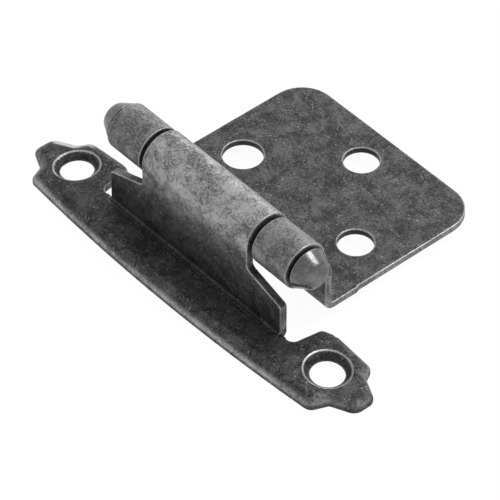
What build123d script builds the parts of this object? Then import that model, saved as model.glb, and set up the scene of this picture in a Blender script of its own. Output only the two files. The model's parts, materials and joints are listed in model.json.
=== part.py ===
"""Self-closing surface hinge for an overlay cabinet door on a face frame.

Millimetres. X runs along the hinge axis, Y points from the frame wing to the door wing and Z points
out of the cabinet. The origin lies on the mounting face, midway between the two frame screws.
The door wing is modelled closed, parallel to the frame.
"""

import os
from math import acos, atan2, cos, degrees, isclose, radians, sin, tan

from build123d import *

os.makedirs("parts", exist_ok=True)

# Sheet metal and hinge axis
frame_sheet = 1.25
door_sheet = 1.1
bore_radius = 2.53
axis_y = 2.92
axis_z = 13.42

# Frame wing, plan of the pressed plate
frame_screw_spacing = 54.0
screw_to_tip = 7.75
front_depth = 7.4
front_bow = 1.3
rear_depth = 6.25
rear_bow = 0.85
nose_length = 3.6
shoulder_inset = 1.1
notch_half_width = 3.4
nose_half_width = 1.75
nose_radius = 1.7
shoulder_radius = 1.5
notch_radius = 0.6

# Frame wing, pressed form and screw holes
crown_height = 2.2
slope_foot = 1.5
front_slope_middle = 0.9
front_slope_end = 1.9
rear_slope_middle = 0.5
rear_slope_end = 2.2
end_slope_lead = 4.5
end_drop = 1.2
rim_radius = 0.8
frame_hole_radius = 2.5
frame_sink_radius = 3.4
frame_sink_angle = 90.0

# Frame wing, upright and centre knuckle
upright_width = 36.4
upright_bend_radius = 0.5
upright_corner_z = 7.35
upright_shoulder_z = 9.65
upright_corner_radius = 0.7
upright_inner_radius = 0.9
centre_knuckle_length = 22.3
centre_seam_angle = -118.0
relief_y = -0.7
relief_radius = 1.2
pad_flare = 0.7
pad_corner_radius = 1.3

# Door wing
door_plate_top = 3.05
door_plate_width = 37.3
flange_width = 37.7
step_y = 12.8
flange_offset = 5.02
door_bend_radius = 0.6
jog_radius = 4.0
door_reach = 36.4
door_corner_radius = 5.2
knuckle_gap = 0.8
door_seam_angle = -40.0
flange_top_z = 9.0
flange_notch_radius = 0.8
door_hole_spacing = 24.1
near_hole_offset = 10.66
far_hole_inset = 5.8
door_hole_radius = 2.65
wide_hole_radius = 3.0

# Pin and its pressed-on tip
pin_clearance = 0.04
head_gap = 0.4
head_base_radius = 3.3
head_end_radius = 2.0
head_length = 2.5
head_round = 0.9
head_base_chamfer = 0.2
spigot_radius = 1.3
spigot_length = 1.7
spigot_clearance = 0.02
cam_radius = 1.7
cam_length = 17.6

# Closing spring: a sleeve of strip inside the centre knuckle, pressed flat on the side of the cam
spring_sheet = 0.45
spring_clearance = 0.05
spring_end_clearance = 0.3
spring_flat_start = 45.0
spring_flat_end = -55.0
spring_lip_end = -78.0
spring_tail = 5.0
spring_crease_radius = 0.5

# Values worked out from the sizes above
through = 60.0
nose_x = frame_screw_spacing / 2 + screw_to_tip
notch_x = nose_x - nose_length
shoulder_x = notch_x - shoulder_inset
front_end = front_depth - front_bow
rear_end = rear_depth - rear_bow
centre_radius = bore_radius + frame_sheet
end_radius = bore_radius + door_sheet
pin_radius = bore_radius - pin_clearance
spring_middle_radius = bore_radius - spring_clearance - spring_sheet / 2
half_centre_knuckle = centre_knuckle_length / 2
end_knuckle_inner = half_centre_knuckle + knuckle_gap
head_base_x = flange_width / 2 + head_gap
pin_axis = Axis((0, axis_y, axis_z), (1, 0, 0))


def on_circle(radius: float, angle: float) -> tuple[float, float]:
    """Point of a cross-section at this radius and angle around the hinge axis."""
    return axis_y + radius * cos(radians(angle)), axis_z + radius * sin(radians(angle))


def bow_y(middle_y: float, end_y: float, reach: float) -> float:
    """Y of the frame wing's bow at this reach, from middle_y in the middle to end_y at the shoulders."""
    return middle_y + (end_y - middle_y) * (reach / shoulder_x) ** 2


def bowed_edge(middle_y: float, end_y: float, reach: float) -> Edge:
    """Arc that follows the frame wing's bow out to this reach on both sides."""
    reach_y = bow_y(middle_y, end_y, reach)
    return ThreePointArc((-reach, reach_y), (0, middle_y), (reach, reach_y))


def slope_cutter(rim: tuple[float, float], crease: tuple[float, float], open_y: float) -> Part:
    """Body above a turned-down slope; rim and crease give their Y in the middle and at the ends."""
    with BuildPart() as cutter:
        for height, (middle_y, end_y) in ((slope_foot, rim), (crown_height, crease)):
            with BuildSketch(Plane.XY.offset(height)):
                with BuildLine():
                    arc = bowed_edge(middle_y, end_y, nose_x)
                    Polyline(arc @ 1, (nose_x, open_y), (-nose_x, open_y), arc @ 0)
                make_face()
        loft(ruled=True)
    return cutter.part


def head_outline(plane: Plane) -> Sketch:
    """Half profile of a pin head whose base lies on the plane's Y axis."""
    with BuildSketch(plane) as outline:
        with BuildLine():
            Polyline(
                (0, 0),
                (0, head_base_radius),
                (head_length, head_end_radius),
                (head_length, 0),
                close=True,
            )
        make_face()
        chamfer(outline.vertices().sort_by_distance((0, head_base_radius))[0], head_base_chamfer)
        fillet(outline.vertices().sort_by_distance((head_length, head_end_radius))[0], head_round)
    return outline.sketch


# Frame wing, pressed plate: bowed outline with a nose at each end
with BuildSketch() as frame_outline:
    with BuildLine():
        bowed_edge(-front_depth, -front_end, shoulder_x)
        bowed_edge(rear_depth, rear_end, shoulder_x)
        for side in (-1, 1):
            Polyline(
                (side * shoulder_x, -front_end),
                (side * notch_x, -notch_half_width),
                (side * nose_x, -nose_half_width),
                (side * nose_x, nose_half_width),
                (side * notch_x, notch_half_width),
                (side * shoulder_x, rear_end),
            )
    make_face()
    for corner_x, radius in ((nose_x, nose_radius), (notch_x, notch_radius), (shoulder_x, shoulder_radius)):
        fillet([v for v in frame_outline.vertices() if isclose(abs(v.X), corner_x)], radius)

# Opening behind the upright, whose metal came from here, with a round relief beside each end of the bend
upright_front = axis_y - centre_radius
bend_start = upright_front - upright_bend_radius
half_upright = upright_width / 2
relief_x = half_upright + 2 * relief_radius
relief_end_y = relief_y + relief_radius
pad_edge_x = relief_x + pad_flare
pad_edge_y = bow_y(rear_depth, rear_end, pad_edge_x) - pad_corner_radius
with BuildSketch() as pad_gap:
    with BuildLine():
        side = Polyline((0, bend_start), (half_upright, bend_start), (half_upright, relief_end_y))
        ThreePointArc(side @ 1, (half_upright + relief_radius, relief_y), (relief_x, relief_end_y))
        edge = Line((relief_x, relief_end_y), (pad_edge_x, pad_edge_y))
        corner = JernArc(edge @ 1, edge % 1, pad_corner_radius, -90)
        Polyline(corner @ 1, ((corner @ 1).X, rear_depth), (0, rear_depth), (0, bend_start))
    make_face()
    mirror(about=Plane.YZ)

# The crown falls away to both tips, and so does the hollow under it
end_slope_x = frame_screw_spacing / 2 - end_slope_lead
end_slope_angle = degrees(atan2(end_drop, nose_x - end_slope_x))
hole_top_z = crown_height - end_slope_lead * tan(radians(end_slope_angle))
sink_flare = frame_sheet * tan(radians(frame_sink_angle / 2))
with BuildPart() as end_slopes:
    with BuildSketch(Plane.XZ):
        with BuildLine():
            Polyline(
                (end_slope_x, crown_height),
                (nose_x, crown_height - end_drop),
                (nose_x, crown_height),
                close=True,
            )
        make_face()
        mirror(about=Plane.YZ)
    extrude(amount=through, both=True)

with BuildPart() as frame_hollow:
    with BuildSketch():
        add(frame_outline.sketch)
        offset(amount=-frame_sheet)
    extrude(amount=crown_height - frame_sheet)
    add(end_slopes.part.moved(Location((0, 0, -frame_sheet))), mode=Mode.SUBTRACT)

with BuildPart() as frame_plate:
    add(frame_outline.sketch)
    extrude(amount=crown_height)
    add(end_slopes.part, mode=Mode.SUBTRACT)
    top_faces = frame_plate.faces().filter_by(lambda face: face.normal_at().Z > 0.9)
    creases = frame_plate.edges().filter_by(Axis.Y)
    rim = [edge for edge in top_faces.edges() if edge not in creases]
    fillet(rim, rim_radius)
    add(
        slope_cutter(
            (-front_depth, -front_end),
            (-front_depth + front_slope_middle, -front_end + front_slope_end),
            -through,
        ),
        mode=Mode.SUBTRACT,
    )
    add(
        slope_cutter(
            (rear_depth, rear_end),
            (rear_depth - rear_slope_middle, rear_end - rear_slope_end),
            through,
        ),
        mode=Mode.SUBTRACT,
    )
    add(frame_hollow.part, mode=Mode.SUBTRACT)
    with BuildSketch():
        add(pad_gap.sketch)
    extrude(amount=crown_height, mode=Mode.SUBTRACT)
    for side in (-1, 1):
        with Locations((side * frame_screw_spacing / 2, 0, hole_top_z)):
            Hole(frame_hole_radius)
            with Locations(Rotation(0, side * end_slope_angle, 0)):
                Cone(
                    frame_sink_radius - sink_flare,
                    frame_sink_radius + sink_flare,
                    2 * frame_sheet,
                    mode=Mode.SUBTRACT,
                )

# Frame wing, upright and centre knuckle: a strip bent up from the plate, its narrow end rolled over the pin
sheet_middle_z = crown_height - frame_sheet / 2
roll_radius = bore_radius + frame_sheet / 2
with BuildPart() as upright:
    with BuildSketch(Plane.YZ):
        with BuildLine():
            root = Line((bend_start - frame_sheet, sheet_middle_z), (bend_start, sheet_middle_z))
            bend = JernArc(root @ 1, (1, 0), upright_bend_radius + frame_sheet / 2, 90)
            Line(bend @ 1, on_circle(roll_radius, 180))
        trace(line_width=frame_sheet)
    extrude(amount=half_upright, both=True)
    with BuildSketch(Plane.XZ) as upright_outline:
        with BuildLine():
            Polyline(
                (0, 0),
                (half_upright, 0),
                (half_upright, upright_corner_z),
                (half_centre_knuckle, upright_shoulder_z),
                (half_centre_knuckle, through),
                (0, through),
                close=True,
            )
        make_face()
        shoulder = upright_outline.vertices().sort_by_distance((half_upright, upright_corner_z))[0]
        fillet(shoulder, upright_corner_radius)
        neck = upright_outline.vertices().sort_by_distance((half_centre_knuckle, upright_shoulder_z))[0]
        fillet(neck, upright_inner_radius)
        mirror(about=Plane.YZ)
    extrude(amount=through, both=True, mode=Mode.INTERSECT)
    with BuildSketch(Plane.YZ):
        with BuildLine():
            JernArc(on_circle(roll_radius, 180), (0, 1), roll_radius, centre_seam_angle - 180)
        trace(line_width=frame_sheet)
    extrude(amount=half_centre_knuckle, both=True)

with BuildPart() as frame_wing:
    add(frame_plate.part)
    add(upright.part)
frame_wing.part.label = "frame_wing"
export_step(frame_wing.part, "parts/frame_wing.step")

# Door wing: plate, bend, flange, jog and two end knuckles from one strip
flange_rear = axis_y + flange_offset
near_hole_y = flange_rear + near_hole_offset
far_hole_y = door_reach - far_hole_inset
jog_depth = flange_offset - end_radius
jog_angle = degrees(acos(1 - jog_depth / (2 * jog_radius)))
jog_height = 2 * jog_radius * sin(radians(jog_angle))
with BuildPart() as door_wing:
    with BuildSketch(Plane.YZ):
        with BuildLine():
            plate_z = door_plate_top - door_sheet / 2
            plate = Line((door_reach, plate_z), (flange_rear + door_bend_radius, plate_z))
            bend = JernArc(plate @ 1, (-1, 0), door_bend_radius + door_sheet / 2, -90)
            flange = Line(bend @ 1, ((bend @ 1).X, axis_z - jog_height))
            lean = JernArc(flange @ 1, (0, 1), jog_radius, jog_angle)
            rise = JernArc(lean @ 1, lean % 1, jog_radius, -jog_angle)
            JernArc(rise @ 1, (0, 1), bore_radius + door_sheet / 2, 360 + door_seam_angle)
        trace(line_width=door_sheet)
    extrude(amount=flange_width / 2, both=True)
    with BuildSketch() as door_outline:
        with BuildLine():
            Polyline(
                (0, -through),
                (flange_width / 2, -through),
                (flange_width / 2, step_y),
                (door_plate_width / 2, step_y + flange_width - door_plate_width),
                (door_plate_width / 2, door_reach),
                (0, door_reach),
                close=True,
            )
        make_face()
        far_corner = door_outline.vertices().sort_by_distance((door_plate_width / 2, door_reach))[0]
        fillet(far_corner, door_corner_radius)
        mirror(about=Plane.YZ)
    extrude(amount=through, both=True, mode=Mode.INTERSECT)
    with BuildSketch(Plane.XZ) as knuckle_notch:
        with Locations((0, flange_top_z)):
            Rectangle(2 * end_knuckle_inner, through, align=(Align.CENTER, Align.MIN))
        fillet(knuckle_notch.vertices().group_by(Axis.Y)[0], flange_notch_radius)
    extrude(amount=through, both=True, mode=Mode.SUBTRACT)
    with Locations(Plane.XY.offset(door_plate_top)):
        with Locations((-door_hole_spacing / 2, near_hole_y)):
            Hole(wide_hole_radius)
        with Locations((door_hole_spacing / 2, near_hole_y), (0, far_hole_y)):
            Hole(door_hole_radius)
door_wing.part.label = "door_wing"
export_step(door_wing.part, "parts/door_wing.step")

# Hinge pin: journals in the knuckles, a flatted cam in the middle, a head on the left, a spigot on the right
spring_middle = (spring_flat_start + spring_flat_end) / 2
spring_spread = radians(spring_flat_start - spring_middle)
cam_flat = spring_middle_radius * cos(spring_spread) - spring_sheet / 2 - spring_clearance
left_head_plane = Plane(origin=(-head_base_x, axis_y, axis_z), x_dir=(-1, 0, 0), z_dir=(0, 1, 0))
right_head_plane = Plane(origin=(head_base_x, axis_y, axis_z), x_dir=(1, 0, 0), z_dir=(0, -1, 0))
with BuildPart() as hinge_pin:
    with BuildSketch(Plane(origin=(0, axis_y, axis_z), x_dir=(1, 0, 0), z_dir=(0, -1, 0))):
        with BuildLine():
            Polyline(
                (-head_base_x, 0),
                (-head_base_x, pin_radius),
                (-cam_length / 2, pin_radius),
                (-cam_length / 2, cam_radius),
                (cam_length / 2, cam_radius),
                (cam_length / 2, pin_radius),
                (head_base_x, pin_radius),
                (head_base_x, spigot_radius),
                (head_base_x + spigot_length, spigot_radius),
                (head_base_x + spigot_length, 0),
                close=True,
            )
        make_face()
    revolve(axis=pin_axis)
    add(head_outline(left_head_plane))
    revolve(axis=pin_axis)
    with Locations(Location((0, axis_y, axis_z), (spring_middle, 0, 0))):
        with Locations((0, cam_flat, 0)):
            Box(
                cam_length,
                bore_radius,
                2 * bore_radius,
                align=(Align.CENTER, Align.MIN, Align.CENTER),
                mode=Mode.SUBTRACT,
            )
hinge_pin.part.label = "hinge_pin"
export_step(hinge_pin.part, "parts/hinge_pin.step")

# Pin tip: a head like the pin's own, bored to press on the spigot
with BuildPart() as pin_tip:
    add(head_outline(right_head_plane))
    revolve(axis=pin_axis)
    with BuildSketch(Plane(origin=(head_base_x, axis_y, axis_z), z_dir=(1, 0, 0))):
        Circle(spigot_radius + spigot_clearance)
    extrude(amount=spigot_length + spigot_clearance, mode=Mode.SUBTRACT)
pin_tip.part.label = "pin_tip"
export_step(pin_tip.part, "parts/pin_tip.step")

# Closing spring: tail in the knuckle's seam, round over the top, flat against the cam and a lip
with BuildPart() as closing_spring:
    with BuildSketch(Plane.YZ):
        with BuildLine() as strip:
            shoulder = on_circle(spring_middle_radius, 180)
            Line((shoulder[0], axis_z - spring_tail), shoulder)
            sleeve = JernArc(shoulder, (0, 1), spring_middle_radius, spring_flat_start - 180)
            flat = Line(sleeve @ 1, on_circle(spring_middle_radius, spring_flat_end))
            lip_middle = on_circle(spring_middle_radius, (spring_flat_end + spring_lip_end) / 2)
            ThreePointArc(flat @ 1, lip_middle, on_circle(spring_middle_radius, spring_lip_end))
            for crease in (flat @ 0, flat @ 1):
                fillet(strip.vertices().sort_by_distance(crease)[0], spring_crease_radius)
        trace(line_width=spring_sheet)
    extrude(amount=cam_length / 2 - spring_end_clearance, both=True)
closing_spring.part.label = "closing_spring"
export_step(closing_spring.part, "parts/closing_spring.step")
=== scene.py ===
"""Looks of the self-closing surface hinge: tumbled dark pewter sheet, a satin pin and a studio around it."""

import json
import logging
from collections.abc import Callable
from dataclasses import dataclass
from enum import Enum
from functools import reduce
from math import cos, radians, sin

import bmesh
import bpy
import numpy as np
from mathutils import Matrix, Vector

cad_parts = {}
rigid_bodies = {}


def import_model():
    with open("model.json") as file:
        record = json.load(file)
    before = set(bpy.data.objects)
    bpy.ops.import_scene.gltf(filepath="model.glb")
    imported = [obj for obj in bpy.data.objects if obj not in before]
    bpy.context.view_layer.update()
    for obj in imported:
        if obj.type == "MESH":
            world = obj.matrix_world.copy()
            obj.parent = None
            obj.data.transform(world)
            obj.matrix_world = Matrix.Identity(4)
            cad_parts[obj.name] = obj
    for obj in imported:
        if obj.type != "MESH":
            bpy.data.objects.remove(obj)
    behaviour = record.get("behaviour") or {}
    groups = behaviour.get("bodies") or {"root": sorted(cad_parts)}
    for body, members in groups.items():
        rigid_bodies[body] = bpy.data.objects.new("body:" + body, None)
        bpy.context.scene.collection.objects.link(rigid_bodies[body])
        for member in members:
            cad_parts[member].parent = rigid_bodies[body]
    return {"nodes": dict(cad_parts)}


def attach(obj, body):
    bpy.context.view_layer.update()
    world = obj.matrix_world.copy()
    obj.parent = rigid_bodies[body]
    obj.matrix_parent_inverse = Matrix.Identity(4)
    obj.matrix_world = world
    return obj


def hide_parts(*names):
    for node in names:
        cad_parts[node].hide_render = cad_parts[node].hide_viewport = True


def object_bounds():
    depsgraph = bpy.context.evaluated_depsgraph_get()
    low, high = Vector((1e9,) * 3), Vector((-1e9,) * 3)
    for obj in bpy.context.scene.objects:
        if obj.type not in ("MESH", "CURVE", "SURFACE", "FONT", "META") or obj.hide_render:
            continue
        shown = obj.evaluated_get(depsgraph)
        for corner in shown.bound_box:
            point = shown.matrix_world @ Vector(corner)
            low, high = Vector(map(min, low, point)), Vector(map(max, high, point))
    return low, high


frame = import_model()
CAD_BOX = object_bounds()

Edge = bmesh.types.BMEdge
Node = bpy.types.Node
Object = bpy.types.Object
Nodes = dict[str, Object]
Socket = bpy.types.NodeSocket
Span = tuple[float, float]
Triple = tuple[float, float, float]

LOG = logging.getLogger("hinge")
MM = 0.001


class RayKind(Enum):
    """Kinds of ray that see the white studio backdrop, by their Light Path output."""

    CAMERA = "Is Camera Ray"
    GLOSSY = "Is Glossy Ray"
    TRANSMISSION = "Is Transmission Ray"


@dataclass(frozen=True)
class Noise:
    """One layer of cloudy noise.

    Attributes:
        scale: Features per metre.
        detail: Octaves.
        rough: Share kept from octave to octave.
        twist: Distortion.
    """

    scale: float
    detail: float
    rough: float = 0.55
    twist: float = 0.0


def grey(level: float) -> tuple[float, float, float, float]:
    """Gives an opaque grey."""
    return (level, level, level, 1.0)


class NodeBench:
    """Adds and links shader nodes in one node tree."""

    def __init__(self, tree: bpy.types.NodeTree) -> None:
        """Empties the node tree of a material or a world."""
        self.tree = tree
        self.tree.nodes.clear()

    def add(
        self, kind: str, inputs: dict[str | int, object] | None = None, **settings: object
    ) -> Node:
        """Adds a node.

        Args:
            kind: Blender's node type name.
            inputs: Sockets to link and constants to set, by the input's name or number.
            settings: Node properties, set by name.

        Returns:
            The new node.
        """
        node = self.tree.nodes.new(kind)
        for name, value in settings.items():
            setattr(node, name, value)
        for name, value in (inputs or {}).items():
            if isinstance(value, Socket):
                self.tree.links.new(value, node.inputs[name])
            else:
                node.inputs[name].default_value = value
        return node

    def math(self, operation: str, first: object, second: object = 0.0, clamp: bool = False) -> Socket:
        """Combines two numbers or sockets, and keeps the result between 0 and 1 where clamp is set."""
        node = self.add("ShaderNodeMath", {0: first, 1: second}, operation=operation, use_clamp=clamp)
        return node.outputs[0]

    def product(self, *factors: object) -> Socket:
        """Multiplies numbers or sockets."""
        return reduce(lambda first, second: self.math("MULTIPLY", first, second), factors)

    def largest(self, *values: object) -> Socket:
        """Picks the largest of numbers or sockets."""
        return reduce(lambda first, second: self.math("MAXIMUM", first, second), values)

    def weigh(self, *terms: tuple[Socket, float]) -> Socket:
        """Adds sockets, each times its weight."""
        weighed = [self.product(value, weight) for value, weight in terms]
        return reduce(lambda first, second: self.math("ADD", first, second), weighed)

    def ramp(
        self, value: object, low: float, high: float, to_low: float = 0.0, to_high: float = 1.0
    ) -> Socket:
        """Maps a range of a number to another range with soft ends.

        Args:
            value: Number or socket.
            low: Value that gives to_low.
            high: Value that gives to_high.
            to_low: Result at low.
            to_high: Result at high.

        Returns:
            The mapped number's socket.
        """
        ends = {"From Min": low, "From Max": high, "To Min": to_low, "To Max": to_high}
        node = self.add("ShaderNodeMapRange", {"Value": value, **ends}, interpolation_type="SMOOTHSTEP")
        return node.outputs["Result"]

    def blend(self, factor: object, under: object, over: object) -> Socket:
        """Lays one colour over another, by the share that factor gives."""
        node = self.add("ShaderNodeMix", {0: factor, 6: under, 7: over}, data_type="RGBA")
        return node.outputs[2]

    def noise(self, place: Socket, layer: Noise) -> Socket:
        """Adds cloudy noise.

        Args:
            place: Coordinates.
            layer: What the noise is like.

        Returns:
            The noise value's socket.
        """
        form = {"Scale": layer.scale, "Detail": layer.detail}
        form |= {"Roughness": layer.rough, "Distortion": layer.twist}
        return self.add("ShaderNodeTexNoise", {"Vector": place, **form}).outputs[0]


@dataclass(frozen=True)
class ScratchSet:
    """One family of hair scratches that run roughly one way.

    Attributes:
        turn: Direction of the scratches, in degrees about each axis.
        pitch: Scratches per metre across.
        stretch: Length of a scratch against the distance between two.
        width: Half width of a hair against that distance.
        core: Share of that half width that is fully bright.
        patch: Scale of the noise that breaks the hairs, against pitch.
        share: Noise level above which a hair shows.
        soft: Range of that level over which it fades in.
        strength: How bright it is.
    """

    turn: Triple
    pitch: float = 700.0
    stretch: float = 10.0
    width: float = 0.03
    core: float = 0.3
    patch: float = 1.7
    share: float = 0.57
    soft: float = 0.09
    strength: float = 0.22


@dataclass(frozen=True)
class NickSet:
    """One family of small bright nicks, each in a cell of its own.

    Attributes:
        scale: Cells per metre.
        share: Share of the cells that stays empty.
        soft: Range of that share over which the nicks fade in.
        core: Radius that is fully bright, against the size of a cell.
        radius: Radius of a nick, against the size of a cell.
    """

    scale: float
    share: float
    soft: float = 0.25
    core: float = 0.05
    radius: float = 0.26


@dataclass(frozen=True)
class RimRubAndHighlight:
    """The turned-down rim of the frame wing: rubbed metal from tumbling, with a painted highlight along its
    rounding and painted shade at its foot.

    Attributes:
        crown: Height of the flat crown, which stays dark, in metres.
        bright: Height at which the rim's painted highlight is brightest.
        shadow: Height below which it is dark again, as painted shade at the foot.
        hole_x: Distance of the screw holes from the middle.
        hole_reach: Radius round a screw hole that stays dark.
        hole_soft: Width over which that dark ring ends.
        steep: Upward part of the surface's direction over which the rubbing and painted highlight set in.
        upward: Upward part below which the surface stays dark.
        patches: Noise range that varies the rubbing.
        thin: Share of the strength that is left between the patches.
        calm: Distances beyond the screw holes over which the rubbing weakens.
        calm_share: Share that is left there.
        nose: Distances beyond the left screw hole over which the rear rim gets a painted highlight.
        rear: Rearward part of the surface's direction over which it does.
        strength: Share of rubbed metal and painted highlight on the rim.
    """

    crown: float = 1.6 * MM
    bright: float = 0.8 * MM
    shadow: float = 0.25 * MM
    hole_x: float = 27.0 * MM
    hole_reach: float = 3.6 * MM
    hole_soft: float = 0.4 * MM
    steep: Span = (0.985, 0.7)
    upward: Span = (-0.25, -0.05)
    patches: Span = (0.38, 0.6)
    thin: float = 0.35
    calm: Span = (1.0 * MM, 3.5 * MM)
    calm_share: float = 0.5
    nose: Span = (1.0 * MM, 3.0 * MM)
    rear: Span = (0.04, 0.24)
    strength: float = 0.95


@dataclass(frozen=True)
class CutEdge:
    """The cut edges of a folded sheet between its plate and its knuckles, which are rubbed bright.

    Attributes:
        facing: Part of the surface's direction that tells a cut edge from the sheet's faces.
        top: Heights over which edges that face upwards come in.
        end: Heights over which the rubbing ends below the knuckles.
        above_plate: Heights over which it starts above the plate of a wing with a rim.
        strength: Share of rubbed metal.
    """

    facing: Span = (0.8, 0.95)
    top: Span = (3.2 * MM, 3.5 * MM)
    end: Span = (9.5 * MM, 8.8 * MM)
    above_plate: Span = (2.3 * MM, 2.6 * MM)
    strength: float = 0.6


@dataclass(frozen=True)
class Bore:
    """A screw hole, whose wall gets painted shade.

    Attributes:
        x: Place along the hinge axis, in metres.
        y: Place across it.
        reach: Radius that gets the painted shade.
        shade: Share of the colour that is left there.
        soft: Width over which the painted shade ends.
    """

    x: float
    y: float
    reach: float
    shade: float = 0.12
    soft: float = 0.05 * MM


@dataclass(frozen=True)
class Fold:
    """The fold at the foot of the upright: painted shade in the crease, with a broken painted highlight line
    before it.

    Attributes:
        line: Place of the painted highlight line across the hinge axis, in metres.
        width: Half width of that line.
        core: Share of that half width that is fully bright.
        level: Distances from the plate's height over which the line appears.
        patches: Noise range that breaks the line.
        broken: Share of bright metal colour, as painted highlight, between its pieces and on them.
        start: Place where the crease starts.
        start_fade: Width over which it starts.
        low: Height of the plate beside it.
        below: Distances under that height over which the crease appears.
        high: Height at which the crease ends.
        half: Half length of the fold.
        fade: Distance over which the fold ends at its top and at both sides.
        shade: Share of the colour that is left in the crease, as painted shade.
    """

    line: float = -1.5 * MM
    width: float = 0.07 * MM
    core: float = 0.3
    level: Span = (0.06 * MM, 0.02 * MM)
    patches: Span = (0.42, 0.58)
    broken: Span = (0.1, 0.7)
    start: float = -1.42 * MM
    start_fade: float = 0.1 * MM
    low: float = 2.2 * MM
    below: Span = (0.2 * MM, 0.1 * MM)
    high: float = 2.75 * MM
    half: float = 18.3 * MM
    fade: float = 0.3 * MM
    shade: float = 0.6


FLAT_SCRATCHES = tuple(ScratchSet((0, 0, angle), pitch=pitch) for angle, pitch in (
    (12, 700), (47, 640), (83, 760), (121, 610), (158, 720)
))
STANDING_SCRATCHES = tuple(ScratchSet((0, angle, 0), pitch=pitch) for angle, pitch in (
    (18, 680), (62, 620), (128, 740)
))
NICKS = (NickSet(900, 0.84), NickSet(1700, 0.62))

# The slow sway of the hairs, and the step that sets each family of them apart.
SWAY_SCALE = 90.0
SWAY_DETAIL = 1.0
SWAY_REACH = 2.5 * MM
FAMILY_STEP = (0.37, 0.11, 0.23)

# The noise of the plating, and how its layers add up to the mottle and to the grain that breaks the rubbing.
CLOUDS = Noise(420, 6, 0.62, 0.5)
DRIFTS = Noise(150, 3, 0.6)
PEPPER = Noise(2900, 2, 0.75)
MOTTLE_WEIGHTS = (0.5, 0.5)
GRAIN_WEIGHTS = (0.42, 0.38, 0.2)

# Ranges over which a finish changes, and the results at their ends.
PLATING = (0.4, 0.62)
WORN = (0.38, 0.62)
WORN_SHARES = (0.16, 0.88)
FLAT_FACING = (0.6, 0.85)
# Painted sheen: barrel surfaces that face rearwards are lighter, those facing the front darker.
REAR_SHEEN_FACING = (-0.7, 0.7)
EDGE_LIGHT = (0.95, 0.5)
# Painted shade in crevices: the occlusion range over which the colour darkens, and the share of colour kept.
PAINTED_SHADE_LIGHT = (0.15, 0.85)
PAINTED_SHADE_SHARES = (0.2, 1.0)
ROUGH_MOTTLE = (0.3, 0.7)
ROUGH_CHANGE = (0.07, -0.07)

LIGHT_SAMPLES = 6
# Painted shade in crevices: how far occlusion is looked for, and the near-black grey that the colour darkens
# towards.
PAINTED_SHADE_REACH = 2.2 * MM
PAINTED_SHADE_GREY = 0.004
BARE_SHARE = 0.55
MARK_SHARE = 0.9
MARK_DEPTH = 0.3
BUMP_STRENGTH = 0.5
METALLIC = 0.6


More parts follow.
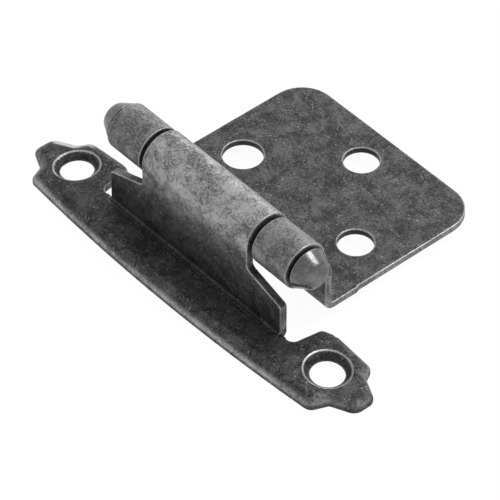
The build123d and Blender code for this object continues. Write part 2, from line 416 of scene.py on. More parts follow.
@dataclass(frozen=True)
class PewterFinish:
    """Tumbled antique pewter: dark, mottled plating with rubbed edges, hair scratches and nicks, plus
    painted shade in crevices, holes and the fold, and painted highlights on the rim, the fold and the
    barrel's rear.

    Attributes:
        name: Material name.
        dark: Grey of the plating where nothing rubs it.
        pale: Grey of the clouds in the plating.
        rubbed: Grey of the bare, rubbed metal, which the painted highlights also use.
        barrel: Share of rubbed metal on the raised barrel.
        barrel_low: Height at which the rubbing of the barrel starts, in metres.
        barrel_high: Height at which it is complete.
        rear_sheen: How much lighter the barrel's rear-facing side is painted than its front, as painted
            sheen.
        rim: The rim's rubbed metal and painted highlight, where the piece has one.
        fold: Painted highlight and painted shade at the fold at the foot of an upright, where the piece has
            one.
        bores: Screw holes, whose walls get painted shade.
        cut: The cut edges of the sheet, where they are rubbed.
        bare: Share of rubbed metal all over.
        edge_reach: How far a rubbed edge fades in, in metres.
        edge_strength: How bright that fading is.
        marks: Strength of the scratches and nicks.
        rough: Roughness of the plating.
        rough_rubbed: Roughness of the rubbed metal.
        relief: Depth of the fine relief, in metres.
    """

    name: str
    dark: float = 0.022
    pale: float = 0.125
    rubbed: float = 0.46
    barrel: float = 0.9
    barrel_low: float = 5.0 * MM
    barrel_high: float = 15.5 * MM
    rear_sheen: float = 0.0
    rim: RimRubAndHighlight | None = None
    fold: Fold | None = None
    bores: tuple[Bore, ...] = ()
    cut: CutEdge | None = None
    bare: float = 0.0
    edge_reach: float = 0.4 * MM
    edge_strength: float = 0.45
    marks: float = 1.0
    rough: float = 0.5
    rough_rubbed: float = 0.4
    relief: float = 0.02 * MM

    def hairs(self, bench: NodeBench, place: Socket, families: tuple[ScratchSet, ...]) -> Socket:
        """Draws hair scratches.

        Args:
            bench: Node bench of the material.
            place: Object coordinates.
            families: Families of scratches.

        Returns:
            Socket with the strength of the scratches, from 0 to 1.
        """
        sway_form = {"Scale": SWAY_SCALE, "Detail": SWAY_DETAIL}
        drift = bench.add("ShaderNodeTexNoise", {"Vector": place, **sway_form}).outputs["Color"]
        sway = bench.add("ShaderNodeVectorMath", {0: drift, "Scale": SWAY_REACH}, operation="SCALE")
        bent = bench.add("ShaderNodeVectorMath", {0: place, 1: sway.outputs[0]}, operation="ADD")
        lines = []
        for number, family in enumerate(families):
            form = {
                "Vector": bent.outputs[0],
                "Rotation": [radians(angle) for angle in family.turn],
                "Scale": (family.stretch, 1, 1),
                "Location": [number * step for step in FAMILY_STEP],
            }
            turned = bench.add("ShaderNodeMapping", form, vector_type="TEXTURE").outputs[0]
            form = {"Vector": turned, "Scale": family.pitch}
            cells = bench.add("ShaderNodeTexVoronoi", form, feature="DISTANCE_TO_EDGE")
            hair = bench.ramp(cells.outputs["Distance"], family.width * family.core, family.width, 1.0, 0.0)
            patch = bench.noise(turned, Noise(family.pitch * family.patch, 2))
            kept = bench.ramp(patch, family.share, family.share + family.soft)
            lines.append(bench.product(hair, kept, family.strength))
        return bench.largest(*lines)

    def nicks(self, bench: NodeBench, place: Socket, family: NickSet) -> Socket:
        """Draws small bright nicks.

        Args:
            bench: Node bench of the material.
            place: Object coordinates.
            family: Family of nicks.

        Returns:
            Socket with the strength of the nicks, from 0 to 1.
        """
        form = {"Vector": place, "Scale": family.scale}
        cells = bench.add("ShaderNodeTexVoronoi", form, feature="F1")
        parts = bench.add("ShaderNodeSeparateColor", {0: cells.outputs["Color"]})
        chosen = bench.ramp(parts.outputs[0], family.share, family.share + family.soft)
        dot = bench.ramp(cells.outputs["Distance"], family.core, family.radius, 1.0, 0.0)
        return bench.product(chosen, dot)

    def rim_rub_and_highlight(
        self, bench: NodeBench, spot: Node, facing: Node, patches: Socket
    ) -> Socket:
        """Paints the turned-down rim: rubbed metal, a painted highlight along its rounding and on the rear
        of the left nose, and painted shade at its foot.

        Args:
            bench: Node bench of the material.
            spot: Node with the three coordinates.
            facing: Node with the three parts of the surface's direction.
            patches: Noise that varies the rubbing.

        Returns:
            Socket with the share of rubbed metal and painted highlight, from 0 to 1.
        """
        rim, along, height = self.rim, spot.outputs["X"], spot.outputs["Z"]
        steep = bench.ramp(facing.outputs["Z"], *rim.steep)
        upward = bench.ramp(facing.outputs["Z"], *rim.upward)
        lower = bench.ramp(height, rim.shadow, rim.bright)
        upper = bench.ramp(height, rim.crown, rim.bright)
        reach = bench.math("ABSOLUTE", along)
        from_hole = self.distance(bench, reach, spot.outputs["Y"], rim.hole_x, 0.0)
        away = bench.ramp(from_hole, rim.hole_reach, rim.hole_reach + rim.hole_soft)
        rubbed = bench.ramp(patches, *rim.patches, rim.thin * rim.strength, rim.strength)
        calm = bench.ramp(reach, *(rim.hole_x + part for part in rim.calm), 1.0, rim.calm_share)
        # Front rim: rubbed patches with a painted highlight on the steep rounding, fading to painted shade
        # at its foot.
        front = bench.product(rubbed, steep, upward, lower, upper, away, calm)
        # Rear rim of the left nose: painted highlight where the surface faces rearwards.
        nose = bench.ramp(along, *(-rim.hole_x - part for part in rim.nose))
        rear = bench.ramp(facing.outputs["Y"], *rim.rear)
        return bench.largest(front, bench.product(rear, upward, lower, away, nose))

    def distance(self, bench: NodeBench, along: Socket, across: Socket, x: float, y: float) -> Socket:
        """Measures the distance from an upright axis.

        Args:
            bench: Node bench of the material.
            along: Coordinate along the hinge axis.
            across: Coordinate across it.
            x: Place of the axis along the hinge axis.
            y: Place of the axis across it.

        Returns:
            Socket with the distance.
        """
        apart = {"X": bench.math("SUBTRACT", along, x), "Y": bench.math("SUBTRACT", across, y)}
        reach = bench.add("ShaderNodeCombineXYZ", apart).outputs[0]
        return bench.add("ShaderNodeVectorMath", {0: reach}, operation="LENGTH").outputs["Value"]

    def cut_rub(self, bench: NodeBench, spot: Node, facing: Node) -> Socket:
        """Finds the cut edges of the sheet below the knuckles.

        Args:
            bench: Node bench of the material.
            spot: Node with the three coordinates.
            facing: Node with the three parts of the surface's direction.

        Returns:
            Socket with the share of rubbed metal, from 0 to 1.
        """
        cut, height = self.cut, spot.outputs["Z"]
        side = bench.ramp(bench.math("ABSOLUTE", facing.outputs["X"]), *cut.facing)
        top = bench.product(bench.ramp(facing.outputs["Z"], *cut.facing), bench.ramp(height, *cut.top))
        found = bench.product(bench.largest(side, top), bench.ramp(height, *cut.end))
        if self.rim:
            found = bench.product(found, bench.ramp(height, *cut.above_plate))
        return bench.product(found, cut.strength)

    def fold_parts(
        self, bench: NodeBench, spot: Node, patches: Socket
    ) -> tuple[Socket, Socket]:
        """Paints the fold at the foot of the upright: a highlight line and shade in the crease.

        Args:
            bench: Node bench of the material.
            spot: Node with the three coordinates.
            patches: Noise that breaks the painted highlight line.

        Returns:
            Sockets with the share of painted highlight on the line, and with the painted shade of the
            crease.
        """
        fold, across, height = self.fold, spot.outputs["Y"], spot.outputs["Z"]
        reach = bench.math("ABSOLUTE", spot.outputs["X"])
        inside = bench.ramp(reach, fold.half + fold.fade, fold.half)
        off = bench.math("ABSOLUTE", bench.math("SUBTRACT", across, fold.line))
        rise = bench.math("ABSOLUTE", bench.math("SUBTRACT", height, fold.low))
        line = bench.product(
            bench.ramp(off, fold.width, fold.core * fold.width),
            inside,
            bench.ramp(rise, *fold.level),
            bench.ramp(patches, *fold.patches, *fold.broken),
        )
        crease = bench.product(
            bench.ramp(across, fold.start - fold.start_fade, fold.start),
            inside,
            bench.ramp(height, *(fold.low - part for part in fold.below)),
            bench.ramp(height, fold.high + fold.fade, fold.high),
        )
        return line, bench.ramp(crease, 0.0, 1.0, 1.0, fold.shade)

    def material(self) -> bpy.types.Material:
        """Builds the material.

        Returns:
            The finished node material.
        """
        made = bpy.data.materials.new(self.name)
        made.use_nodes = True
        bench = NodeBench(made.node_tree)
        coordinates = bench.add("ShaderNodeTexCoord")
        place = coordinates.outputs["Object"]
        spot = bench.add("ShaderNodeSeparateXYZ", {0: place})
        facing = bench.add("ShaderNodeSeparateXYZ", {0: coordinates.outputs["Normal"]})

        clouds, drifts, pepper = (bench.noise(place, layer) for layer in (CLOUDS, DRIFTS, PEPPER))
        mottle = bench.weigh(*zip((clouds, pepper), MOTTLE_WEIGHTS))
        grain = bench.weigh(*zip((pepper, clouds, drifts), GRAIN_WEIGHTS))
        worn = bench.ramp(grain, *WORN, *WORN_SHARES)
        ground = bench.blend(bench.ramp(mottle, *PLATING), grey(self.dark), grey(self.pale))

        flat = bench.ramp(bench.math("ABSOLUTE", facing.outputs["Z"]), *FLAT_FACING)
        upright = bench.math("SUBTRACT", 1.0, flat)
        lying = bench.product(self.hairs(bench, place, FLAT_SCRATCHES), flat)
        standing = bench.product(self.hairs(bench, place, STANDING_SCRATCHES), upright)
        nicks = [self.nicks(bench, place, family) for family in NICKS]
        marks = bench.product(bench.largest(lying, standing, *nicks), self.marks)

        raised = bench.ramp(spot.outputs["Z"], self.barrel_low, self.barrel_high)
        # Painted sheen on the rear-facing side of the barrel.
        rear_sheen_mask = bench.ramp(facing.outputs["Y"], *REAR_SHEEN_FACING, 1.0 - self.rear_sheen, 1.0 + self.rear_sheen)
        barrel = bench.product(raised, self.barrel, worn, rear_sheen_mask)
        # rubbed collects the share of bright metal: real rubbing and marks, and the painted highlights of
        # the rim, the fold line and the barrel's rear sheen.
        rubbed = bench.largest(barrel, bench.product(marks, MARK_SHARE))
        shade: object = 1.0
        # The rim's rubbing and painted highlight.
        if self.rim:
            rubbed = bench.largest(rubbed, self.rim_rub_and_highlight(bench, spot, facing, grain))
        # Painted highlight along the fold's line, and painted shade in its crease.
        if self.fold:
            line, shade = self.fold_parts(bench, spot, grain)
            rubbed = bench.largest(rubbed, line)
        if self.cut:
            rubbed = bench.largest(rubbed, bench.product(self.cut_rub(bench, spot, facing), worn))
        if self.bare:
            rubbed = bench.largest(rubbed, bench.ramp(grain, *WORN, BARE_SHARE * self.bare, self.bare))
        # Painted shade on the walls of the screw holes.
        for bore in self.bores:
            away = self.distance(bench, spot.outputs["X"], spot.outputs["Y"], bore.x, bore.y)
            wall = bench.ramp(away, bore.reach, bore.reach + bore.soft, bore.shade, 1.0)
            shade = bench.product(wall, shade)

        form = {"Distance": self.edge_reach}
        inside = bench.add(
            "ShaderNodeAmbientOcclusion", form, inside=True, only_local=True, samples=LIGHT_SAMPLES
        )
        edge = bench.ramp(inside.outputs["AO"], *EDGE_LIGHT, 0.0, self.edge_strength)
        rubbed = bench.math("MAXIMUM", rubbed, bench.product(edge, worn), clamp=True)
        # Painted shade: crevices, hollows and nearby parts darken the colour, together with the painted
        # shade of the fold and the screw holes.
        crevice = bench.add("ShaderNodeAmbientOcclusion", {"Distance": PAINTED_SHADE_REACH}, samples=LIGHT_SAMPLES)
        crevice_shade = bench.product(bench.ramp(crevice.outputs["AO"], *PAINTED_SHADE_LIGHT, *PAINTED_SHADE_SHARES), shade)
        # Bright metal, from rubbing and from painted highlights, laid over the plating.
        colour = bench.blend(rubbed, ground, grey(self.rubbed))
        colour = bench.blend(crevice_shade, grey(PAINTED_SHADE_GREY), colour)
        rough = bench.ramp(rubbed, 0.0, 1.0, self.rough, self.rough_rubbed)
        rough = bench.math("ADD", rough, bench.ramp(mottle, *ROUGH_MOTTLE, *ROUGH_CHANGE), clamp=True)
        relief = bench.math("SUBTRACT", mottle, bench.product(marks, MARK_DEPTH))
        form = {"Strength": BUMP_STRENGTH, "Distance": self.relief, "Height": relief}
        bump = bench.add("ShaderNodeBump", form).outputs[0]
        form = {"Base Color": colour, "Metallic": METALLIC, "Roughness": rough, "Normal": bump}
        shader = bench.add("ShaderNodeBsdfPrincipled", form)
        bench.add("ShaderNodeOutputMaterial", {0: shader.outputs[0]})
        return made


# Limits of the mesh work: gaps in metres, angles in degrees.
MERGE_GAP = 0.002 * MM
FLAT_ANGLE = 0.02
SMOOTH_ANGLE = 38.0
CUT_GAP = 0.001 * MM
TINY = 1e-9


@dataclass
class DressedPiece:
    """A sheet or turned piece whose sharp CAD edges are rounded as tumbling leaves them.

    Attributes:
        node: CAD node it stands for.
        name: Name of the finished piece.
        body: Body it rides on.
        slot: Material slot of the record; not used.
        finish: Its finish.
        edge_finish: Finish of the rounded edges, rubbed bright.
        edge_round: Width of the rounded edges, in metres.
        edge_steps: Facets across a rounded edge.
        sharp: Angle from which an edge is rounded, in degrees.
    """

    node: str
    name: str
    body: str
    slot: str
    finish: PewterFinish
    edge_finish: PewterFinish
    edge_round: float = 0.16 * MM
    edge_steps: int = 3
    sharp: float = 40.0

    def build(self, nodes: Nodes) -> Object:
        """Makes the finished piece from the CAD node's shape.

        Args:
            nodes: CAD nodes by name.

        Returns:
            The finished piece, riding on its body.
        """
        bpy.ops.object.select_all(action="DESELECT")
        source = nodes[self.node]
        source.select_set(True)
        bpy.context.view_layer.objects.active = source
        bpy.ops.object.duplicate()
        piece = bpy.context.view_layer.objects.active
        bpy.ops.object.parent_clear(type="CLEAR_KEEP_TRANSFORM")
        piece.name = self.name
        piece.data.name = self.name
        for key in list(piece.keys()):
            del piece[key]
        piece.data.materials.clear()
        piece.data.materials.append(self.finish.material())
        piece.data.materials.append(self.edge_finish.material())
        bpy.ops.object.mode_set(mode="EDIT")
        self.merge()
        self.shape(piece)
        self.round_edges(piece)
        bpy.ops.object.mode_set(mode="OBJECT")
        self.even_shading(piece)
        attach(piece, self.body)
        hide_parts(self.node)
        return piece

    def merge(self) -> None:
        """Joins the loose facets of the piece in edit mode into whole faces."""
        bpy.ops.mesh.select_all(action="SELECT")
        bpy.ops.mesh.remove_doubles(threshold=MERGE_GAP)
        bpy.ops.mesh.dissolve_limited(angle_limit=radians(FLAT_ANGLE))

    def shape(self, piece: Object) -> None:
        """Leaves the CAD shape as it is."""

    def pick(self, piece: Object, wanted: Callable[[Edge], bool]) -> None:
        """Selects edges.

        Args:
            piece: Piece in edit mode.
            wanted: Says whether an edge is selected.
        """
        bpy.ops.mesh.select_mode(type="EDGE")
        bpy.ops.mesh.select_all(action="DESELECT")
        mesh = bmesh.from_edit_mesh(piece.data)
        for edge in mesh.edges:
            if wanted(edge):
                edge.select_set(True)
        bmesh.update_edit_mesh(piece.data)

    def is_sharp(self, edge: Edge) -> bool:
        """Tells whether an edge stands out and is sharp enough to be rubbed round."""
        return edge.is_manifold and edge.is_convex and edge.calc_face_angle() > radians(self.sharp)

    def round_edges(self, piece: Object) -> None:
        """Rounds the sharp outward edges of the piece in edit mode."""
        self.pick(piece, self.is_sharp)
        bpy.ops.mesh.bevel(
            offset=self.edge_round,
            segments=self.edge_steps,
            affect="EDGES",
            clamp_overlap=False,
            loop_slide=False,
            material=1,
        )

    def even_shading(self, piece: Object) -> None:
        """Shades the rounded piece smoothly.

        Args:
            piece: Piece in object mode.
        """
        bpy.ops.object.shade_smooth_by_angle(angle=radians(SMOOTH_ANGLE))
        even = piece.modifiers.new("even_shading", "WEIGHTED_NORMAL")
        even.keep_sharp = True
        bpy.ops.object.modifier_apply(modifier=even.name)


@dataclass
class PressedWing(DressedPiece):
    """The frame wing, whose plate is pressed: its crown rolls down to a low wall all round.

    Attributes:
        crown: Height of the crown, in metres.
        fall_start: Distance from the middle at which the crown starts to fall to the tips.
        fall_end: Distance of the tips.
        fall: Drop of the crown at the tips.
        half_width: Half width of the plate, roughly.
        cad_wall: Highest wall of the plate in the CAD shape.
        cad_rim: Rounding of the plate's rim in the CAD shape.
        wall: Height of the pressed wall.
        wall_share: Largest share of the CAD wall that it keeps.
        wall_depth: Distance from the outline up to which a point lies on the wall.
        wall_margin: Height over the CAD wall that still belongs to it.
        roll: Width over which the crown rolls down to the wall.
        fullness: Shape of that roll, from 1 for a slope to 2 for a round.
        first_share: Smallest share of the roll's width at which its steepness is taken.
        like: Agreement with a facet's direction from which a corner gets the roll's own.
        hollow: Distance from the outline at which the hollow under the plate starts.
        skin: Depth under the crown that is pressed with it.
        level: Height or distance that counts as none.
        margin: Height over the crown that still belongs to the plate.
        grid: Longest edge in the rolled band.
        passes: Rounds of refining.
        kept_sharp: Lowest and highest corners of the places at the upright's foot that stay sharp.
        foot: Height below which edges stay sharp.
        rim_reach: Distance from the outline up to which edges are left to the press.
        horn_low: Lowest corner of the thin horn that the relief leaves beside the upright, which is cut off.
        horn_high: Its highest corner.
        hole_x: Distance of the screw holes from the middle.
        hole_reach: Radius inside which a hole's edges stay sharp.
        pad_end: Distance from the middle up to which the rear outline is cut by the pads' corners.
        pad_run: How far the rear outline runs on over those corners.
        upright: Upward part of a direction below which a facet is a wall.
        rearward: Rearward part from which a wall belongs to the rear outline.
        edges: Straight pieces of the plate's outline, read from its mesh.
    """

    crown: float = 2.2 * MM
    fall_start: float = 22.5 * MM
    fall_end: float = 34.75 * MM
    fall: float = 1.2 * MM
    half_width: float = 6.95 * MM
    cad_wall: float = 1.45 * MM
    cad_rim: float = 0.8 * MM
    wall: float = 0.42 * MM
    wall_share: float = 0.9
    wall_depth: float = 0.02 * MM
    wall_margin: float = 0.08 * MM
    roll: float = 1.6 * MM
    fullness: float = 1.6
    first_share: float = 0.004
    like: float = 0.5
    hollow: float = 1.2 * MM
    skin: float = 0.6 * MM
    level: float = 0.01 * MM
    margin: float = 0.05 * MM
    grid: float = 0.26 * MM
    passes: int = 9
    kept_sharp: tuple[tuple[Triple, Triple], ...] = (
        ((18.05 * MM, -1.45 * MM, 0.8 * MM), (18.3 * MM, -0.93 * MM, 2.42 * MM)),
        ((18.05 * MM, -0.8 * MM, 0.8 * MM), (19.12 * MM, -0.6 * MM, 2.25 * MM)),
        ((18.05 * MM, -0.8 * MM, 0.8 * MM), (18.3 * MM, 0.6 * MM, 2.3 * MM)),
    )
    foot: float = 0.05 * MM
    rim_reach: float = 0.3 * MM
    horn_low: Triple = (18.19 * MM, -0.66 * MM, 0.5 * MM)
    horn_high: Triple = (19.2 * MM, 0.7 * MM, 2.21 * MM)
    hole_x: float = 27.0 * MM
    hole_reach: float = 2.95 * MM
    pad_end: float = 24.0 * MM
    pad_run: float = 4.0 * MM
    upright: float = 0.1
    rearward: float = 0.9
    edges: np.ndarray | None = None

    def trim(self, piece: Object) -> None:
        """Cuts off the thin horns beside the upright's foot.

        Args:
            piece: Wing in edit mode.
        """
        bpy.ops.object.mode_set(mode="OBJECT")
        low, high = Vector(self.horn_low), Vector(self.horn_high)
        for side in (-1, 1):
            bpy.ops.object.select_all(action="DESELECT")
            middle = (low + high) / 2
            middle.x *= side
            bpy.ops.mesh.primitive_cube_add(size=1.0, location=middle, scale=high - low)
            block = bpy.context.view_layer.objects.active
            bpy.ops.object.transform_apply(location=True, rotation=True, scale=True)
            bpy.ops.object.select_all(action="DESELECT")
            piece.select_set(True)
            bpy.context.view_layer.objects.active = piece
            cut = piece.modifiers.new("horn", "BOOLEAN")
            cut.operation = "DIFFERENCE"
            cut.solver = "EXACT"
            cut.object = block
            bpy.ops.object.modifier_apply(modifier=cut.name)
            bpy.data.objects.remove(block)
        bpy.ops.object.mode_set(mode="EDIT")
        self.merge()

    def outline(self, mesh: bmesh.types.BMesh) -> np.ndarray:
        """Reads the plate's outline from the foot of its outer wall.

        Args:
            mesh: The wing's mesh.

        Returns:
            Outline as straight pieces, each with two ends in the plane of the plate.
        """
        pieces = []
        for edge in mesh.edges:
            start, end = (vert.co for vert in edge.verts)
            if max(start.z, end.z) > self.level:
                continue
            middle = (start + end) / 2
            outward = Vector((middle.x / self.fall_end, middle.y / self.half_width, 0))
            walls = [face.normal for face in edge.link_faces if abs(face.normal.z) < self.upright]
            walls = [wall for wall in walls if wall.dot(outward) > 0]
            if middle.y > 0 and abs(middle.x) < self.pad_end:
                walls = [wall for wall in walls if wall.y > self.rearward]
            if walls:
                pieces.append(sorted((start.xy[:], end.xy[:]), key=lambda place: abs(place[0])))
        found = np.array(pieces)
        for side in (-1, 1):
            rear = found[(found[:, 0, 1] > 0) & (side * found[:, 0, 0] > 0)]
            near, far = rear[np.argmin(np.abs(rear[:, 0, 0]))]
            run = (near - far) / np.linalg.norm(near - far)
            found = np.append(found, [[near, near + run * self.pad_run]], axis=0)
        return found

    def inset(self, places: np.ndarray) -> tuple[np.ndarray, np.ndarray]:
        """Measures how far points lie inside the outline, seen from above.

        Args:
            places: Points in the plane of the plate.

        Returns:
            Distance of each point from the outline, and the direction away from it.
        """
        nearest = np.full(len(places), np.inf)
        inward = np.zeros_like(places)
        for start, end in self.edges:
            run = end - start
            along = np.clip((places - start) @ run / (run @ run), 0.0, 1.0)
            apart = places - start - along[:, None] * run
            length = np.linalg.norm(apart, axis=1)
            closer = length < nearest
            nearest[closer] = length[closer]
            across = np.array((-run[1], run[0])) / np.linalg.norm(run)
            inward[closer] = np.where(
                length[closer, None] > self.level,
                apart[closer] / np.maximum(length[closer, None], TINY),
                across * -np.sign(across @ (start + end)),
            )
        return nearest, inward

    def crown_at(self, reach: np.ndarray) -> np.ndarray:
        """Gives the crown's height at distances from the middle along the wing."""
        fallen = np.maximum(0.0, np.abs(reach) - self.fall_start) / (self.fall_end - self.fall_start)
        return self.crown - self.fall * fallen

    def walls_at(self, crown: np.ndarray) -> tuple[np.ndarray, np.ndarray]:
        """Gives the height of the wall in the CAD shape and after pressing, by the crown's height."""
        cad_wall = np.minimum(self.cad_wall, crown - self.cad_rim)
        return cad_wall, np.minimum(self.wall, self.wall_share * cad_wall)

    def on_plate(self, height: np.ndarray) -> np.ndarray:
        """Tells which heights lie on the plate, above its mounting face."""
        return (height > self.level) & (height < self.crown + self.margin)

    def refine(self, piece: Object) -> None:
        """Divides the band that is rolled down into small facets.

        Args:
            piece: Wing in edit mode.
        """
        for _ in range(self.passes):
            bpy.ops.mesh.select_all(action="SELECT")
            bpy.ops.mesh.quads_convert_to_tris()
            mesh = bmesh.from_edit_mesh(piece.data)
            mesh.verts.index_update()
            depth, _inward = self.inset(np.array([vert.co.xy[:] for vert in mesh.verts]))
            longest = np.where(depth < self.roll, self.grid, 2 * self.grid)
            band = depth < self.roll + self.grid
            self.pick(
                piece,
                lambda edge: edge.calc_length() > min(longest[vert.index] for vert in edge.verts)
                and all(vert.co.z < self.crown + self.margin for vert in edge.verts)
                and any(band[vert.index] for vert in edge.verts),
            )
            bpy.ops.mesh.subdivide(number_cuts=1, ngon=False)
        bpy.ops.mesh.select_all(action="SELECT")
        bpy.ops.mesh.quads_convert_to_tris()

    def press(self, piece: Object) -> None:
        """Rolls the crown down to the wall.

        Args:
            piece: Wing in edit mode.
        """
        mesh = bmesh.from_edit_mesh(piece.data)
        places = np.array([vert.co[:] for vert in mesh.verts])
        depth, _inward = self.inset(places[:, :2])
        crown = self.crown_at(places[:, 0])
        cad_wall, wall = self.walls_at(crown)
        rest = np.maximum(0.0, 1.0 - depth / self.roll) ** self.fullness
        rolled = wall + (crown - wall) * (1.0 - rest) ** (1.0 / self.fullness)
        height = places[:, 2]
        plate = self.on_plate(height)
        on_wall = plate & (depth < self.wall_depth) & (height < cad_wall + self.wall_margin)
        outside = (depth < self.hollow) | (height > crown - self.skin)
        on_top = plate & ~on_wall & (depth < self.roll) & outside
        height = np.where(on_wall, height * wall / cad_wall, height)
        height = np.where(on_top, np.minimum(height, rolled), height)
        for vert, new in zip(mesh.verts, height):
            vert.co.z = new
        bmesh.update_edit_mesh(piece.data)

    def shape(self, piece: Object) -> None:
        """Trims the wing in edit mode and reads its outline."""
        self.trim(piece)
        self.edges = self.outline(bmesh.from_edit_mesh(piece.data))

    def round_edges(self, piece: Object) -> None:
        """Rounds the sharp outward edges of the wing in edit mode, then presses the plate."""
        super().round_edges(piece)
        self.refine(piece)
        self.press(piece)

    def even_shading(self, piece: Object) -> None:
        """Shades the wing, and gives the roll the directions of its true round.

        Args:
            piece: Wing in object mode.
        """
        super().even_shading(piece)
        mesh = piece.data
        places = np.array([vert.co[:] for vert in mesh.vertices])
        depth, inward = self.inset(places[:, :2])
        crown = self.crown_at(places[:, 0])
        _cad_wall, wall = self.walls_at(crown)
        share = np.clip(depth / self.roll, self.first_share, 1.0)
        rest = (1.0 - share) ** self.fullness
        steep = (crown - wall) / self.roll * (1.0 - share) ** (self.fullness - 1.0)
        steep *= (1.0 - rest) ** (1.0 / self.fullness - 1.0)
        slope = self.fall / (self.fall_end - self.fall_start)
        true = np.column_stack((-inward * steep[:, None], np.ones(len(places))))
        true[:, 0] += np.where(crown < self.crown, np.sign(places[:, 0]) * slope, 0.0)
        true /= np.linalg.norm(true, axis=1)[:, None]
        in_band = (depth < self.roll + self.grid) & self.on_plate(places[:, 2])
        corners = np.array([corner.vector[:] for corner in mesh.corner_normals])
        for face in mesh.polygons:
            facing = np.array(face.normal[:])
            for corner, vert in zip(face.loop_indices, face.vertices):
                if in_band[vert] and facing @ true[vert] > self.like:
                    corners[corner] = true[vert]
        mesh.normals_split_custom_set(corners.tolist())

    def is_sharp(self, edge: Edge) -> bool:
        """Tells whether an edge is sharp and lies away from the outline and the places that stay sharp.

        Args:
            edge: Edge of the wing.

        Returns:
            True for a sharp outward edge that is rounded.
        """
        if not super().is_sharp(edge) or all(vert.co.z < self.foot for vert in edge.verts):
            return False
        for vert in edge.verts:
            place = (abs(vert.co.x), vert.co.y, vert.co.z)
            for low_corner, high_corner in self.kept_sharp:
                if all(low < part < high for low, part, high in zip(low_corner, place, high_corner)):
                    return False
            if Vector((place[0] - self.hole_x, place[1])).length < self.hole_reach:
                return False
        if all(vert.co.z < self.crown + self.margin for vert in edge.verts):
            depth, _inward = self.inset(np.array([vert.co.xy[:] for vert in edge.verts]))
            return max(depth) > self.rim_reach
        return True


@dataclass
class BowedSpring(DressedPiece):
    """The spring strip, bowed out as far as the turning cam drives it, so that it always clears the cam.

    Attributes:
        axis_y: Place of the hinge axis across the part, in metres.
        axis_z: Height of the hinge axis.
        inner: Inner radius of the sleeve.
        sheet: Thickness of the strip.
        flat: Distance of the flat's inner side from the axis.
        spread: Half angle of the flat, in degrees.
        turn: Direction of the flat, in degrees.
        cuts: Cuts across the flat.
    """

    axis_y: float = 2.92 * MM
    axis_z: float = 13.42 * MM
    inner: float = 2.030 * MM
    sheet: float = 0.45 * MM
    flat: float = 1.224 * MM
    spread: float = 58.0
    turn: float = -5.0
    cuts: int = 12

    def shape(self, piece: Object) -> None:
        """Bows the flat of the strip out to the round of the sleeve.

        Args:
            piece: Spring in edit mode.
        """
        for step in range(1, self.cuts):
            angle = radians(self.turn - self.spread + 2 * self.spread * step / self.cuts)
            bpy.ops.mesh.select_all(action="SELECT")
            bpy.ops.mesh.bisect(
                plane_co=(0.0, self.axis_y, self.axis_z),
                plane_no=(0.0, -sin(angle), cos(angle)),
                threshold=CUT_GAP,
            )
        mesh = bmesh.from_edit_mesh(piece.data)
        facing = Vector((cos(radians(self.turn)), sin(radians(self.turn))))
        for vert in mesh.verts:
            out = Vector((vert.co.y - self.axis_y, vert.co.z - self.axis_z))
            if out.angle(facing) > radians(self.spread):
                continue
            depth = min(1.0, max(0.0, (out.dot(facing) - self.flat) / self.sheet))
            out *= max(1.0, (self.inner + depth * self.sheet) / out.length)
            vert.co.y, vert.co.z = self.axis_y + out.x, self.axis_z + out.y
        bmesh.update_edit_mesh(piece.data)


FRAME_PEWTER = PewterFinish(
    "frame_pewter_tumbled", dark=0.017, pale=0.1, barrel=1.2, barrel_low=7.5 * MM,
    rim=RimRubAndHighlight(), fold=Fold(), cut=CutEdge(),
    bores=(Bore(-27.0 * MM, 0.0, 3.1 * MM, 0.5), Bore(27.0 * MM, 0.0, 3.1 * MM, 0.5)),
)
DOOR_PEWTER = PewterFinish(
    "door_pewter_tumbled", dark=0.03, pale=0.14, barrel=0.6, barrel_low=9.0 * MM, barrel_high=14.0 * MM,
    rear_sheen=0.25, cut=CutEdge(),
    bores=(
        Bore(-12.05 * MM, 18.6 * MM, 3.02 * MM),
        Bore(12.05 * MM, 18.6 * MM, 2.67 * MM),
        Bore(0.0, 30.6 * MM, 2.67 * MM),
    ),
)
RUBBED_EDGE = PewterFinish("pewter_rubbed_edge", rubbed=0.52, bare=0.85, edge_strength=0.0)
PIN_SATIN = PewterFinish(
    "pin_satin", dark=0.1, pale=0.2, barrel=0.0, edge_strength=0.2, marks=0.35, rough=0.26
)
PIN_EDGE = PewterFinish(
    "pin_rubbed_edge", dark=0.12, pale=0.25, bare=0.3, barrel=0.0, edge_strength=0.0, rough=0.34
)
SPRING_BRIGHT = PewterFinish(
    "spring_strip", dark=0.2, pale=0.34, barrel=0.0, edge_strength=0.2, marks=0.4
)


@dataclass
class FrameSide:
    """The frame wing and the closing spring inside its knuckle.

    Attributes:
        body: Body that carries them.
        spring_round: Width of the spring's rounded edges, in metres.
    """

    body: str = "frame_side"
    spring_round: float = 0.05 * MM

    def build(self, nodes: Nodes) -> list[Object]:
        """Builds the pieces of the frame side.

        Args:
            nodes: CAD nodes by name.

        Returns:
            The finished pieces.
        """
        wing = PressedWing(
            "frame_wing", "pressed_frame_wing", self.body, "frame_pewter", FRAME_PEWTER, RUBBED_EDGE
        )
        spring = BowedSpring(
            "closing_spring", "spring_sleeve", self.body, "spring_steel", SPRING_BRIGHT, SPRING_BRIGHT,
            self.spring_round,
        )
        return [wing.build(nodes), spring.build(nodes)]


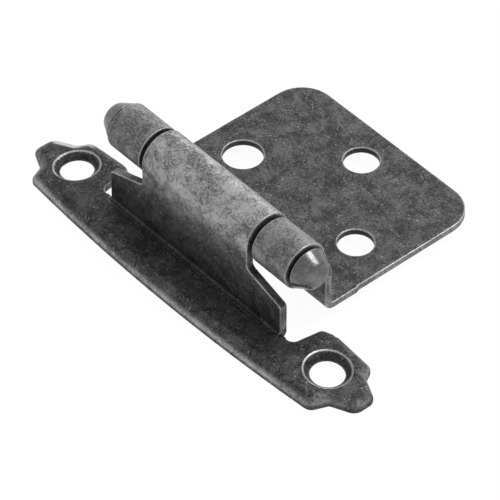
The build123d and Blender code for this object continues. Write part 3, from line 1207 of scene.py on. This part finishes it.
@dataclass
class DoorSide:
    """The door wing and the pin that turns with it.

    Attributes:
        body: Body that carries them.
        pin_round: Width of the pin's rounded edges, in metres.
    """

    body: str = "door_side"
    pin_round: float = 0.08 * MM

    def build(self, nodes: Nodes) -> list[Object]:
        """Builds the pieces of the door side.

        Args:
            nodes: CAD nodes by name.

        Returns:
            The finished pieces.
        """
        wing = DressedPiece(
            "door_wing", "folded_door_wing", self.body, "door_pewter", DOOR_PEWTER, RUBBED_EDGE
        )
        pin = DressedPiece(
            "hinge_pin", "turned_pin", self.body, "pin_steel", PIN_SATIN, PIN_EDGE, self.pin_round
        )
        tip = DressedPiece(
            "pin_tip", "pressed_pin_tip", self.body, "pin_steel", PIN_SATIN, PIN_EDGE, self.pin_round
        )
        return [wing.build(nodes), pin.build(nodes), tip.build(nodes)]


@dataclass(frozen=True)
class Lamp:
    """A square soft lamp.

    Attributes:
        name: Lamp name.
        place: Position in metres.
        size: Side of the square, in metres.
        power: Power in watts.
    """

    name: str
    place: Triple
    size: float
    power: float

    def hang(self) -> None:
        """Hangs the lamp so that it points at the hinge."""
        data = bpy.data.lights.new(self.name, "AREA")
        data.size = self.size
        data.energy = self.power
        lamp = bpy.data.objects.new(self.name, data)
        bpy.context.scene.collection.objects.link(lamp)
        lamp.location = self.place
        lamp.rotation_mode = "QUATERNION"
        lamp.rotation_quaternion = (-Vector(self.place)).to_track_quat("-Z", "Y")


@dataclass
class Studio:
    """Camera, floor, lamps and sky round the hinge.

    Attributes:
        eye: Camera position.
        back: Direction from the hinge to the camera.
        lens: Focal length on the sensor, in millimetres.
        sensor: Width of the sensor, in millimetres.
        clip: Nearest and farthest distance that the camera sees, in metres.
        floor_size: Side of the floor, in metres.
        floor_grey: Grey of the floor.
        floor_glow: Light of the floor for the hinge, and for the rays that see the backdrop.
        sky_glow: The same for the sky.
        lamps: Lamps.
    """

    eye: Triple = (0.30942, -0.25945, 0.39582)
    back: Triple = (0.54204, -0.47106, 0.69591)
    lens: float = 290.5
    sensor: float = 36.0
    clip: Span = (0.01, 20.0)
    floor_size: float = 6.0
    floor_grey: float = 0.06
    floor_glow: Span = (0.5, 0.96)
    sky_glow: Span = (0.55, 1.0)
    lamps: tuple[Lamp, ...] = (
        Lamp("key", (0.16, 0.30, 0.55), 0.22, 2.2),
        Lamp("fill", (-0.5, 0.65, 0.12), 0.5, 1.0),
    )

    def build(self) -> None:
        """Sets up the whole studio."""
        self.camera()
        self.floor()
        self.sky()
        for lamp in self.lamps:
            lamp.hang()
        bpy.context.scene.view_settings.view_transform = "Standard"

    def camera(self) -> None:
        """Places the camera at the photograph's viewing angle."""
        data = bpy.data.cameras.new("camera")
        data.lens = self.lens
        data.sensor_width = self.sensor
        data.clip_start, data.clip_end = self.clip
        eye = bpy.data.objects.new("camera", data)
        bpy.context.scene.collection.objects.link(eye)
        eye.location = self.eye
        eye.rotation_mode = "QUATERNION"
        eye.rotation_quaternion = (-Vector(self.back)).to_track_quat("-Z", "Y")
        bpy.context.scene.camera = eye

    def glow(self, bench: NodeBench, levels: Span) -> Socket:
        """Picks the light of the floor or the sky by the kind of ray that sees it.

        Args:
            bench: Node bench of the floor or the sky.
            levels: Light for the hinge, and for the rays that see the backdrop.

        Returns:
            Socket with the light's strength.
        """
        path = bench.add("ShaderNodeLightPath")
        seen = bench.largest(*(path.outputs[kind.value] for kind in RayKind))
        return bench.ramp(seen, 0.0, 1.0, *levels)

    def floor(self) -> None:
        """Lays the pale floor under the hinge."""
        bpy.ops.object.select_all(action="DESELECT")
        bpy.ops.mesh.primitive_plane_add(size=self.floor_size, location=(0, 0, CAD_BOX[0].z))
        plane = bpy.context.view_layer.objects.active
        plane.name = "floor"
        bpy.ops.object.transform_apply(location=True, rotation=True, scale=True)
        made = bpy.data.materials.new("pale_floor")
        made.use_nodes = True
        bench = NodeBench(made.node_tree)
        paper = bench.add("ShaderNodeBsdfDiffuse", {"Color": grey(self.floor_grey)}).outputs[0]
        light = bench.add("ShaderNodeEmission", {"Strength": self.glow(bench, self.floor_glow)}).outputs[0]
        both = bench.add("ShaderNodeAddShader", {0: paper, 1: light})
        bench.add("ShaderNodeOutputMaterial", {0: both.outputs[0]})
        plane.data.materials.append(made)

    def sky(self) -> None:
        """Makes the soft white surroundings."""
        world = bpy.data.worlds.new("studio")
        bpy.context.scene.world = world
        world.use_nodes = True
        bench = NodeBench(world.node_tree)
        light = bench.add("ShaderNodeBackground", {"Strength": self.glow(bench, self.sky_glow)})
        bench.add("ShaderNodeOutputWorld", {0: light.outputs[0]})


def main() -> None:
    """Builds the hinge's pieces and the studio."""
    logging.basicConfig(level=logging.INFO, format="%(message)s")
    for side in (FrameSide(), DoorSide()):
        for piece in side.build(frame["nodes"]):
            LOG.info("%s: %d faces", piece.name, len(piece.data.polygons))
    Studio().build()


if __name__ == "__main__":
    main()
